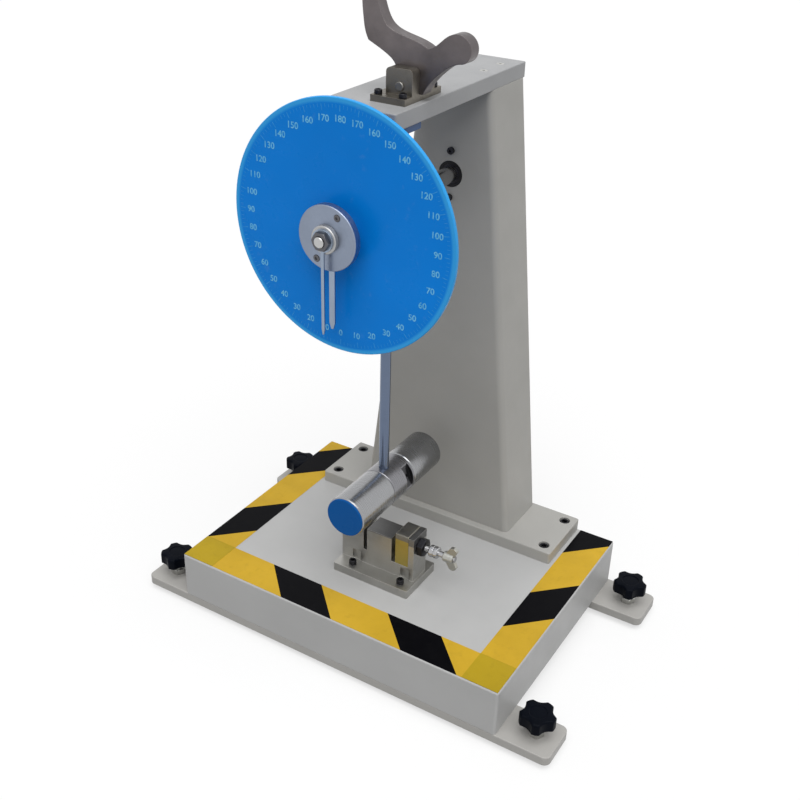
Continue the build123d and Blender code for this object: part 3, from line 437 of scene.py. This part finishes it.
def tape_material(name, color, gloss=0.12):
    """Vinyl floor tape: slight ripples, scuffs and dirt trodden into it."""
    s = Shade(name, color, 0.0, 0.45, gloss)
    clouds = s.ramp(s.noise(14.0, 4.0), [(0.3, tone(color, 0.9)), (0.7, tone(color, 1.08))])
    dirt = s.span(s.noise(120.0, 6.0), 0.56, 0.74, 0.0, 0.14)
    colour = s.mix(dirt, clouds, tuple(c * 0.4 + 0.012 for c in color))
    ripple = s.noise(45.0, 4.0)
    roughness = s.span(s.noise(60.0, 4.0), 0.3, 0.7, 0.30, 0.48)
    return s.finish(colour, roughness, ripple, 0.10, 0.0006, 0.0)


def felt_material():
    s = Shade("felt_grey", (0.10, 0.10, 0.11), 0.0, 0.95, 0.1)
    fibres = s.noise(900.0, 8.0)
    colour = s.ramp(fibres, [(0.3, (0.05, 0.05, 0.055)), (0.7, (0.16, 0.16, 0.17))])
    return s.finish(colour, None, fibres, 0.5, 0.0006, 0.0)


sheet_grey = paint("sheet_paint", (0.472, 0.473, 0.470))
bar_grey = paint("bar_paint", (0.43, 0.42, 0.40))
column_grey = paint("column_paint", (0.412, 0.406, 0.385), rough=0.46)
arm_grey = paint("arm_paint", (0.365, 0.370, 0.378))
hanger_blue = paint("hanger_paint", (0.018, 0.075, 0.21), rough=0.35, wear=0.3)
steel = metal("plain_steel", (0.42, 0.42, 0.42), 0.42)
black_oxide = metal("black_oxide", (0.030, 0.030, 0.034), 0.38, stain=0.3)
zinc = metal("zinc_plate", (0.50, 0.50, 0.48), 0.32, scale=180.0)
rod_steel = turned("rod_steel", (0.135, 0.170, 0.245), 0.20, along=2)
polished = turned("polished_steel", (0.42, 0.42, 0.43), 0.20, along=0)
shaft_steel = turned("shaft_steel", (0.50, 0.50, 0.50), 0.20, along=1)
chrome = turned("hammer_chrome", (0.33, 0.335, 0.345), 0.24, along=1, strength=0.02)
clamp_chrome = turned("clamp_chrome", (0.25, 0.25, 0.265), 0.27, along=1,
                      core=((clamp_low + clamp_high) / 2, (clamp_high[2] - clamp_low[2]) / 2))
ring_black = plastic("bearing_seal", (0.012, 0.012, 0.014), 0.4)
aluminium = turned("machined_aluminium", (0.42, 0.42, 0.43), 0.30, along=1)
hub_metal = metal("hub_satin", (0.25, 0.29, 0.37), 0.36, scale=420.0, strength=0.04)
pointer_metal = metal("pointer_steel", (0.30, 0.36, 0.45), 0.34, brush=(1.0, 1.0, 0.05))
dark_steel = metal("dark_steel", (0.12, 0.12, 0.13), 0.34, stain=0.3)
soft_steel = metal("pin_steel", (0.20, 0.195, 0.185), 0.42, stain=0.3)
dial_blue = dial_material()
face_blue = paint("hammer_face_blue", (0.004, 0.095, 0.34), rough=0.30, peel=0.05, wear=0.2,
                  gloss=0.06)
bracket_metal = metal("bracket_steel", (0.20, 0.185, 0.16), 0.44, stain=0.3)
lever_metal = metal("lever_steel", (0.150, 0.134, 0.136), 0.36, scale=140.0, patch=0.25, stain=0.35,
                    round_r=0.0012)
vise_metal = capped_metal("vise_steel", (0.41, 0.405, 0.385), (0.19, 0.19, 0.19), VISE_CAP_Z)
jaw_brass = capped_metal("jaw_brass", (0.40, 0.33, 0.10), (0.22, 0.215, 0.20), JAW_CAP_Z)
wing_nickel = metal("wing_nickel", (0.42, 0.42, 0.39), 0.34, scale=160.0)
knob_black = plastic("knob_plastic", (0.002, 0.003, 0.006), 0.40, gloss=0.04)
felt = felt_material()
tape_yellow = tape_material("tape_yellow", (0.60, 0.375, 0.028))
tape_dark = tape_material("tape_yellow_lapped", (0.455, 0.315, 0.016))
tape_black = tape_material("tape_black", (0.002, 0.002, 0.003), 0.04)

by_slot = {
    "painted_sheet": sheet_grey, "painted_bar": bar_grey, "painted_column": column_grey,
    "painted_arm": arm_grey, "blue_paint": hanger_blue, "plain_steel": steel,
    "black_fastener": black_oxide, "zinc_fastener": zinc, "polished_steel": polished,
    "hammer_chrome": chrome, "bearing_black": ring_black, "machined_aluminium": aluminium,
    "hub_satin": hub_metal, "pointer_steel": pointer_metal, "dial_blue": dial_blue,
    "face_blue": face_blue, "felt": felt, "bracket_steel": bracket_metal,
    "lever_steel": lever_metal, "vise_steel": vise_metal, "jaw_brass": jaw_brass,
    "wing_nickel": wing_nickel, "knob_plastic": knob_black,
}


# Nodes that look different from the rest of their slot
own_material = {
    "pendulum_shaft": shaft_steel, "pointer_collar": steel, "pendulum_rod": rod_steel,
    "bearing_inner_rings": black_oxide, "lever_pin": soft_steel, "pointer_nut": dark_steel,
    "drag_hub_screws": dark_steel, "hammer_clamp": clamp_chrome,
}


def dress_cad():
    """Gives every CAD node its own material, or the one of its slot."""
    for part in frame["record"]["subparts"]:
        obj = nodes[part["node"]]
        material = own_material.get(part["node"], by_slot[part["material_slot"]])
        if not obj.material_slots:
            obj.data.materials.append(material)
        for slot in obj.material_slots:
            slot.material = material


# Pieces made here

def add_mesh(name, bm, body, materials, smooth=False):
    """Makes an object of a mesh with the given materials, riding a CAD body."""
    mesh = bpy.data.meshes.new(name)
    bm.to_mesh(mesh)
    bm.free()
    for material in materials:
        mesh.materials.append(material)
    if smooth:
        for poly in mesh.polygons:
            poly.use_smooth = True
    obj = bpy.data.objects.new(name, mesh)
    bpy.context.scene.collection.objects.link(obj)
    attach(obj, body)
    return obj


def clip(points, a, b, c):
    """Keeps the part of a flat polygon where a*x + b*y >= c."""
    kept = []
    for i, p in enumerate(points):
        q = points[(i + 1) % len(points)]
        dp, dq = a * p[0] + b * p[1] - c, a * q[0] + b * q[1] - c
        if dp >= 0:
            kept.append(p)
        if dp * dq < 0:
            t = dp / (dp - dq)
            kept.append((p[0] + (q[0] - p[0]) * t, p[1] + (q[1] - p[1]) * t))
    return kept


def tape_strip(name, x0, x1, y0, y1, slope, cuts, lift=TAPE_T, base_material=tape_yellow):
    """A strip of striped tape: cuts are (low, high) of x*slope[0] + y*slope[1] for black bands."""
    outside = 9.0
    bm = bmesh.new()
    rectangle = [(x0, y0), (x1, y0), (x1, y1), (x0, y1)]
    edges = sorted([-outside] + [v for pair in cuts for v in pair] + [outside])
    for i in range(len(edges) - 1):
        low, high = edges[i], edges[i + 1]
        piece = clip(rectangle, slope[0], slope[1], low)
        piece = clip(piece, -slope[0], -slope[1], -high) if len(piece) > 2 else piece
        if len(piece) < 3:
            continue
        top = [bm.verts.new((x, y + FRONT, BASE_TOP + lift)) for x, y in piece]
        low_ring = [bm.verts.new((x, y + FRONT, BASE_TOP + TAPE_GLUE)) for x, y in piece]
        black = any(abs(low - a) < 1e-6 for a, b in cuts)
        faces = [bm.faces.new(top)]
        count = len(piece)
        for k in range(count):
            n = (k + 1) % count
            faces.append(bm.faces.new((top[n], top[k], low_ring[k], low_ring[n])))
        for face in faces:
            face.material_index = 1 if black else 0
    bmesh.ops.recalc_face_normals(bm, faces=bm.faces)
    return add_mesh(name, bm, "frame", [base_material, tape_black])


def make_tape():
    """Tape along the front and both sides, with a second layer where the strips lap."""
    left, right = base_low[0] + TAPE_INSET, base_high[0] - TAPE_INSET
    left_in, right_in = base_low[0] + TAPE_WIDTH, base_high[0] - TAPE_WIDTH
    depth = base_high[1] - base_low[1]
    side_y = (TAPE_WIDTH + TAPE_BUTT, depth - TAPE_INSET)
    front_y = (TAPE_INSET, TAPE_WIDTH)
    tape_strip("tape_front", left, right, *front_y, (1.0, 1.0), FRONT_BANDS)
    tape_strip("tape_left", left, left_in, *side_y, (-1.0, 1.0), LEFT_BANDS)
    tape_strip("tape_right", right_in, right, *side_y, (-1.0, 1.0), RIGHT_BANDS)
    tape_strip("tape_lap_left", left, left_in, *front_y, (1.0, 1.0), [], TAPE_LAP_T, tape_dark)
    tape_strip("tape_lap_right", right_in, right, *front_y, (1.0, 1.0), [], TAPE_LAP_T, tape_dark)


def dial_print_material(name, low, high):
    s = Shade(name, high, 0.0, 0.45, 0.2)
    wear = s.noise(300.0, 4.0)
    colour = s.ramp(wear, [(0.35, low), (0.6, high)])
    return s.finish(colour, None, wear, 0.05, 0.0001, 0.0)


def skin(bm, rings, closed=False):
    """Joins rings of equally many points; the ends are closed, or joined to each other."""
    loops = [[bm.verts.new(p) for p in ring] for ring in rings]
    count = len(loops[0])
    pairs = list(zip(loops, loops[1:]))
    if closed:
        pairs.append((loops[-1], loops[0]))
    else:
        bm.faces.new(loops[0])
        bm.faces.new(loops[-1])
    for low, high in pairs:
        for i in range(count):
            j = (i + 1) % count
            bm.faces.new((low[i], low[j], high[j], high[i]))


def ring(radius, z, count):
    """Points round the Z axis; radius is a number or a function of the angle."""
    points = []
    for i in range(count):
        angle = 2 * math.pi * i / count
        r = radius(angle) if callable(radius) else radius
        points.append(Vector((r * math.cos(angle), r * math.sin(angle), z)))
    return points


def hexagon(af):
    """Radius of a hexagon of the given width across flats, with a corner on the X axis."""
    return lambda a: af / 2 / math.cos(a % (math.pi / 3) - math.pi / 6)


def rounded_hexagon(af, inside):
    """A hexagon whose corners stop at a circle."""
    flat = hexagon(af)
    return lambda a: min(flat(a), inside)


def nut_rings(af, height, bore):
    """A hexagon nut with bevelled corners and a countersunk hole."""
    corner = af / math.sqrt(3)
    slope = 0.55
    face = af / 2 * 0.96
    steps = [face + (corner - face) * t / 4 for t in range(5)]
    low = [ring(rounded_hexagon(af, r), (r - face) * slope, NUT_STEPS) for r in steps]
    high = [ring(rounded_hexagon(af, r), height - (r - face) * slope, NUT_STEPS)
            for r in reversed(steps)]
    sink = bore * 0.12
    hole = [ring(bore + sink, height, NUT_STEPS), ring(bore, height - sink, NUT_STEPS),
            ring(bore, sink, NUT_STEPS), ring(bore + sink, 0.0, NUT_STEPS)]
    return low + high + hole


def screw_rings(head_r, head_h, shank_r, shank_len):
    """A socket head screw pointing down, head underside at 0, with a knurled head."""
    teeth, count = SCREW_STEPS // 2, SCREW_STEPS
    shank_bevel = shank_r * 0.25
    tip_r = shank_r * 0.8
    mouth_r = shank_r * 1.25
    knurl = head_r * 0.03

    def grip(a):
        return head_r - knurl * (0.5 - 0.5 * math.cos(a * teeth))

    edge = head_h * 0.13
    key = hexagon(shank_r * 2 * 0.9)
    floor = head_h * 0.45
    outline = [(tip_r, -shank_len), (shank_r, -shank_len + shank_bevel), (shank_r, 0.0),
               (head_r - edge, 0.0), (grip, edge * 0.7), (grip, head_h - edge * 1.5),
               (head_r - edge * 0.2, head_h - edge), (head_r - edge, head_h), (mouth_r, head_h),
               (key, head_h - edge * 0.4), (key, floor), (shank_r * 0.2, floor - head_h * 0.08)]
    return [ring(radius, z, count) for radius, z in outline]


def thread_rings(radius, pitch, z0, z1, count=ROUND_STEPS, per_turn=6):
    """A screw thread from z0 to z1 with bevelled ends."""
    depth = pitch * 0.42
    bevel = depth * 1.5
    rings_out = []
    steps = max(2, round((z1 - z0) / pitch * per_turn))
    for k in range(steps + 1):
        z = z0 + (z1 - z0) * k / steps
        limit = radius - max(0.0, bevel - min(z - z0, z1 - z))

        def thread(a, z=z, limit=limit):
            phase = (z / pitch - a / (2 * math.pi)) % 1.0
            return min(radius - depth * abs(2 * phase - 1), limit)

        rings_out.append(ring(thread, z, count))
    return rings_out


def lobed(radius, cut_r, cut_at, lobes, blend):
    """Radius of a star knob: a circle with round hollows cut between the lobes, corners eased."""
    def outline(a):
        off = (a - math.pi / lobes) % (2 * math.pi / lobes)
        off = min(off, 2 * math.pi / lobes - off)
        reach = cut_r ** 2 - (cut_at * math.sin(off)) ** 2
        if reach <= 0:
            return radius
        cut = cut_at * math.cos(off) - math.sqrt(reach)
        ease = max(blend - abs(cut - radius), 0.0) / blend
        return min(cut, radius) - ease * ease * blend / 4
    return outline


def knob_rings(radius, height, bore, bore_depth):
    """A moulded star knob: rounded crown, sunken centre disc, blind hole below."""
    count = KNOB_STEPS
    cut_r, cut_at, blend = radius * 0.578, radius * 1.378, radius * 0.2
    lobes = lobed(radius, cut_r, cut_at, KNOB_LOBES, blend)
    crown = height * 0.2
    rings_out = [ring(bore, bore_depth, count), ring(bore, 0.0, count),
                 ring(lambda a: lobes(a) * 0.95, 0.0, count),
                 ring(lobes, height * 0.06, count), ring(lobes, height * 0.45, count)]
    for k in range(7):
        turn = math.pi / 2 * k / 6
        inset = crown * (1 - math.cos(turn))
        rings_out.append(ring(lambda a, i=inset: lobes(a) - i,
                              height - crown + crown * math.sin(turn) * 0.92, count))
    disc = radius * 0.5
    sink = height * 0.05
    outline = [(disc * 1.1, height), (disc, height), (disc * 0.96, height - sink),
               (disc * 0.4, height - sink * 0.6)]
    rings_out += [ring(r, z, count) for r, z in outline]
    return rings_out


def stand(points, place, axis="Z"):
    """Turns points from round the Z axis to round X or Y and moves them to a place."""
    turn = {"X": Matrix.Rotation(math.pi / 2, 3, "Y"), "Y": Matrix.Rotation(-math.pi / 2, 3, "X"),
            "Z": Matrix.Identity(3)}[axis]
    return [turn @ p + Vector(place) for p in points]


def remake(node, copies, closed=False, axis="Z"):
    """Stands finer pieces in for a CAD node: copies are (rings, place) pairs."""
    bm = bmesh.new()
    for rings_in, place in copies:
        skin(bm, [stand(points, place, axis) for points in rings_in], closed)
    bmesh.ops.recalc_face_normals(bm, faces=bm.faces)
    part = next(p for p in frame["record"]["subparts"] if p["node"] == node)
    material = own_material.get(node, by_slot[part["material_slot"]])
    obj = add_mesh(node + "_fine", bm, body_of(nodes[node])[0],
                   [material], True)
    obj.data.set_sharp_from_angle(angle=math.radians(32.0))
    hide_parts(node)


def corner_places(node, reach, z):
    """Places of four round things of radius reach in a node's four corners."""
    low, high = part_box(node)
    return [(x, y, z) for x in (low[0] + reach, high[0] - reach)
            for y in (low[1] + reach, high[1] - reach)]


def make_screws():
    for node, (head_r, head_h, shank_r) in SOCKET_SCREWS.items():
        low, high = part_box(node)
        head_z = high[2] - head_h
        rings_in = screw_rings(head_r, head_h, shank_r, head_z - low[2])
        remake(node, [(rings_in, place) for place in corner_places(node, head_r, head_z)])


def make_nuts():
    low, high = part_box("levelling_lock_nuts")
    rings_in = nut_rings(LOCK_NUT_AF, high[2] - low[2], LOCK_NUT_BORE)
    half_x, half_y = LOCK_NUT_AF / math.sqrt(3), LOCK_NUT_AF / 2
    places = [(x, y, low[2]) for x in (low[0] + half_x, high[0] - half_x)
              for y in (low[1] + half_y, high[1] - half_y)]
    remake("levelling_lock_nuts", [(rings_in, place) for place in places], True)
    low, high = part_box("vise_clamp_nut")
    middle = (low[0], (low[1] + high[1]) / 2, (low[2] + high[2]) / 2)
    rings_in = nut_rings(CLAMP_NUT_AF, high[0] - low[0], CLAMP_NUT_BORE)
    remake("vise_clamp_nut", [(rings_in, middle)], True, "X")
    low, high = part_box("pointer_nut")
    middle = ((low[0] + high[0]) / 2, low[1], (low[2] + high[2]) / 2)
    rings_in = nut_rings(POINTER_NUT_AF, high[1] - low[1], POINTER_NUT_BORE)
    remake("pointer_nut", [(rings_in, middle)], True, "Y")


def make_feet():
    for end in ("front_left", "front_right", "rear_left", "rear_right"):
        low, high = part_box("levelling_stud_" + end)
        middle = ((low[0] + high[0]) / 2, (low[1] + high[1]) / 2, 0.0)
        step = FLOOR - STUD_STEP_BELOW
        pin = [ring(PIN_TIP_R, low[2], ROUND_STEPS), ring(PIN_R, low[2] + PIN_TIP_H, ROUND_STEPS),
               ring(PIN_R, step, ROUND_STEPS)]
        thread = thread_rings(STUD_R, STUD_PITCH, step, high[2])
        remake("levelling_stud_" + end, [(pin + thread, middle)])
        low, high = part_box("star_knob_" + end)
        place = (middle[0], middle[1], low[2])
        rings_in = knob_rings(KNOB_R, high[2] - low[2], STUD_R, KNOB_HOLE_DEPTH)
        remake("star_knob_" + end, [(rings_in, place)])


def make_clamp_screw():
    low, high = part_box("vise_clamp_screw")
    middle = (0.0, (low[1] + high[1]) / 2, (low[2] + high[2]) / 2)
    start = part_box("vise_clamp_nut")[1][0] + COLLAR_OUT
    half = [(COLLAR_END_R, 0.0), (COLLAR_R, COLLAR_EDGE), (COLLAR_R, COLLAR_LIP),
            (COLLAR_GROOVE_R, COLLAR_LIP + COLLAR_SLOPE)]
    outline = half + [(r, COLLAR_LEN - x) for r, x in reversed(half)]
    collar = [ring(r, start + x, ROUND_STEPS) for r, x in outline]
    tail = [ring(CLAMP_R, x, ROUND_STEPS) for x in (start + COLLAR_LEN, high[0])]
    rings_in = thread_rings(CLAMP_R, CLAMP_PITCH, low[0], start) + collar + tail
    remake("vise_clamp_screw", [(rings_in, middle)], False, "X")


def make_dial_print():
    """Plain degree numbers from 0 to 180 on both sides, and ticks, on the dial's face."""
    number_blue = dial_print_material("dial_numbers", (0.09, 0.46, 0.85), (0.20, 0.62, 0.94))
    tick_blue = dial_print_material("dial_tick_marks", (0.02, 0.30, 0.80), (0.05, 0.38, 0.86))
    bm = bmesh.new()
    face_y = DIAL_FRONT - PRINT_LIFT
    for step in range(0, 360, TICK_DEG):
        angle = math.radians(step)
        long_tick = step % NUMBER_DEG == 0
        r0, r1 = (LONG_TICK_R if long_tick else SHORT_TICK_R), TICK_OUTER_R
        half = LONG_TICK_HALF if long_tick else SHORT_TICK_HALF
        out = Vector((math.sin(angle), 0.0, -math.cos(angle)))
        side = Vector((math.cos(angle), 0.0, math.sin(angle)))
        middle = Vector((0.0, face_y, AXIS_Z))
        corners = [middle + out * r0 - side * half, middle + out * r0 + side * half,
                   middle + out * r1 + side * half, middle + out * r1 - side * half]
        bm.faces.new([bm.verts.new(c) for c in corners])
    bmesh.ops.recalc_face_normals(bm, faces=bm.faces)
    add_mesh("dial_ticks", bm, "frame", [tick_blue])
    for step in range(0, 360, NUMBER_DEG):
        value = step if step <= 180 else 360 - step
        curve = bpy.data.curves.new("number", "FONT")
        curve.body = str(value)
        curve.size = NUMBER_SIZE
        curve.align_x = "CENTER"
        curve.align_y = "CENTER"
        curve.offset = NUMBER_WEIGHT
        text = bpy.data.objects.new("number_source", curve)
        bpy.context.scene.collection.objects.link(text)
        bpy.context.view_layer.update()
        mesh = bpy.data.meshes.new_from_object(text)
        bpy.data.objects.remove(text)
        angle = math.radians(step)
        out = Vector((math.sin(angle), 0.0, -math.cos(angle)))
        stand = Matrix.Rotation(math.pi / 2, 4, "X")
        place = Vector((0.0, face_y, AXIS_Z)) + out * NUMBER_R
        mesh.transform(Matrix.Translation(place) @ stand)
        mesh.materials.clear()
        mesh.materials.append(number_blue)
        obj = bpy.data.objects.new("dial_number_%03d" % step, mesh)
        bpy.context.scene.collection.objects.link(obj)
        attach(obj, "frame")


def make_stage():
    bm = bmesh.new()
    corners = [(-1, -1), (1, -1), (1, 1), (-1, 1)]
    bm.faces.new([bm.verts.new((x * FLOOR_HALF, y * FLOOR_HALF, FLOOR_Z)) for x, y in corners])
    mesh = bpy.data.meshes.new("floor")
    bm.to_mesh(mesh)
    bm.free()
    floor = bpy.data.objects.new("floor", mesh)
    bpy.context.scene.collection.objects.link(floor)
    mesh.materials.append(floor_material())

    world = bpy.data.worlds.new("studio")
    bpy.context.scene.world = world
    world.use_nodes = True
    tree = world.node_tree
    back = tree.nodes["Background"]
    tree.links.new(background_share(tree, SKY_DIFFUSE, 1.0), back.inputs["Strength"])
    back.inputs["Color"].default_value = (1.0, 1.0, 1.0, 1.0)

    data = bpy.data.lights.new("key", "SUN")
    data.angle = math.radians(KEY_SPREAD_DEG)
    data.energy = KEY_LEVEL * math.pi
    key = bpy.data.objects.new("key", data)
    bpy.context.scene.collection.objects.link(key)
    key.rotation_mode = "QUATERNION"
    key.rotation_quaternion = (-Vector(KEY_FROM)).to_track_quat("-Z", "Y")
    bpy.context.scene.view_settings.view_transform = "Standard"


def background_share(tree, elsewhere, seen_level):
    """A level that differs for rays that show the background: camera and mirror rays."""
    rays = tree.nodes.new("ShaderNodeLightPath")
    seen = tree.nodes.new("ShaderNodeMath")
    seen.operation = "MAXIMUM"
    tree.links.new(rays.outputs["Is Camera Ray"], seen.inputs[0])
    tree.links.new(rays.outputs["Is Glossy Ray"], seen.inputs[1])
    level = tree.nodes.new("ShaderNodeMapRange")
    level.inputs["To Min"].default_value = elsewhere
    level.inputs["To Max"].default_value = seen_level
    tree.links.new(seen.outputs[0], level.inputs["Value"])
    return level.outputs["Result"]


def floor_material():
    """Pale floor: a diffuse share that takes the shadow, lifted to white where it is seen."""
    s = Shade("floor_pale", (FLOOR_DIFFUSE,) * 3, 0.0, 0.9, 0.0)
    low, high = FLOOR_DIFFUSE * 0.99, FLOOR_DIFFUSE * 1.01
    tint = s.ramp(s.noise(1.2, 2.0), [(0.3, (low,) * 3), (0.7, (high,) * 3)])
    s.bsdf.inputs["Emission Color"].default_value = (1.0, 1.0, 1.0, 1.0)
    s.link(background_share(s.tree, 0.0, FLOOR_LIFT), s.bsdf.inputs["Emission Strength"])
    return s.finish(tint, None, None, 0.0, 0.0, 0.0)


make_camera()
dress_cad()
make_tape()
make_screws()
make_nuts()
make_feet()
make_clamp_screw()
make_dial_print()
make_stage()
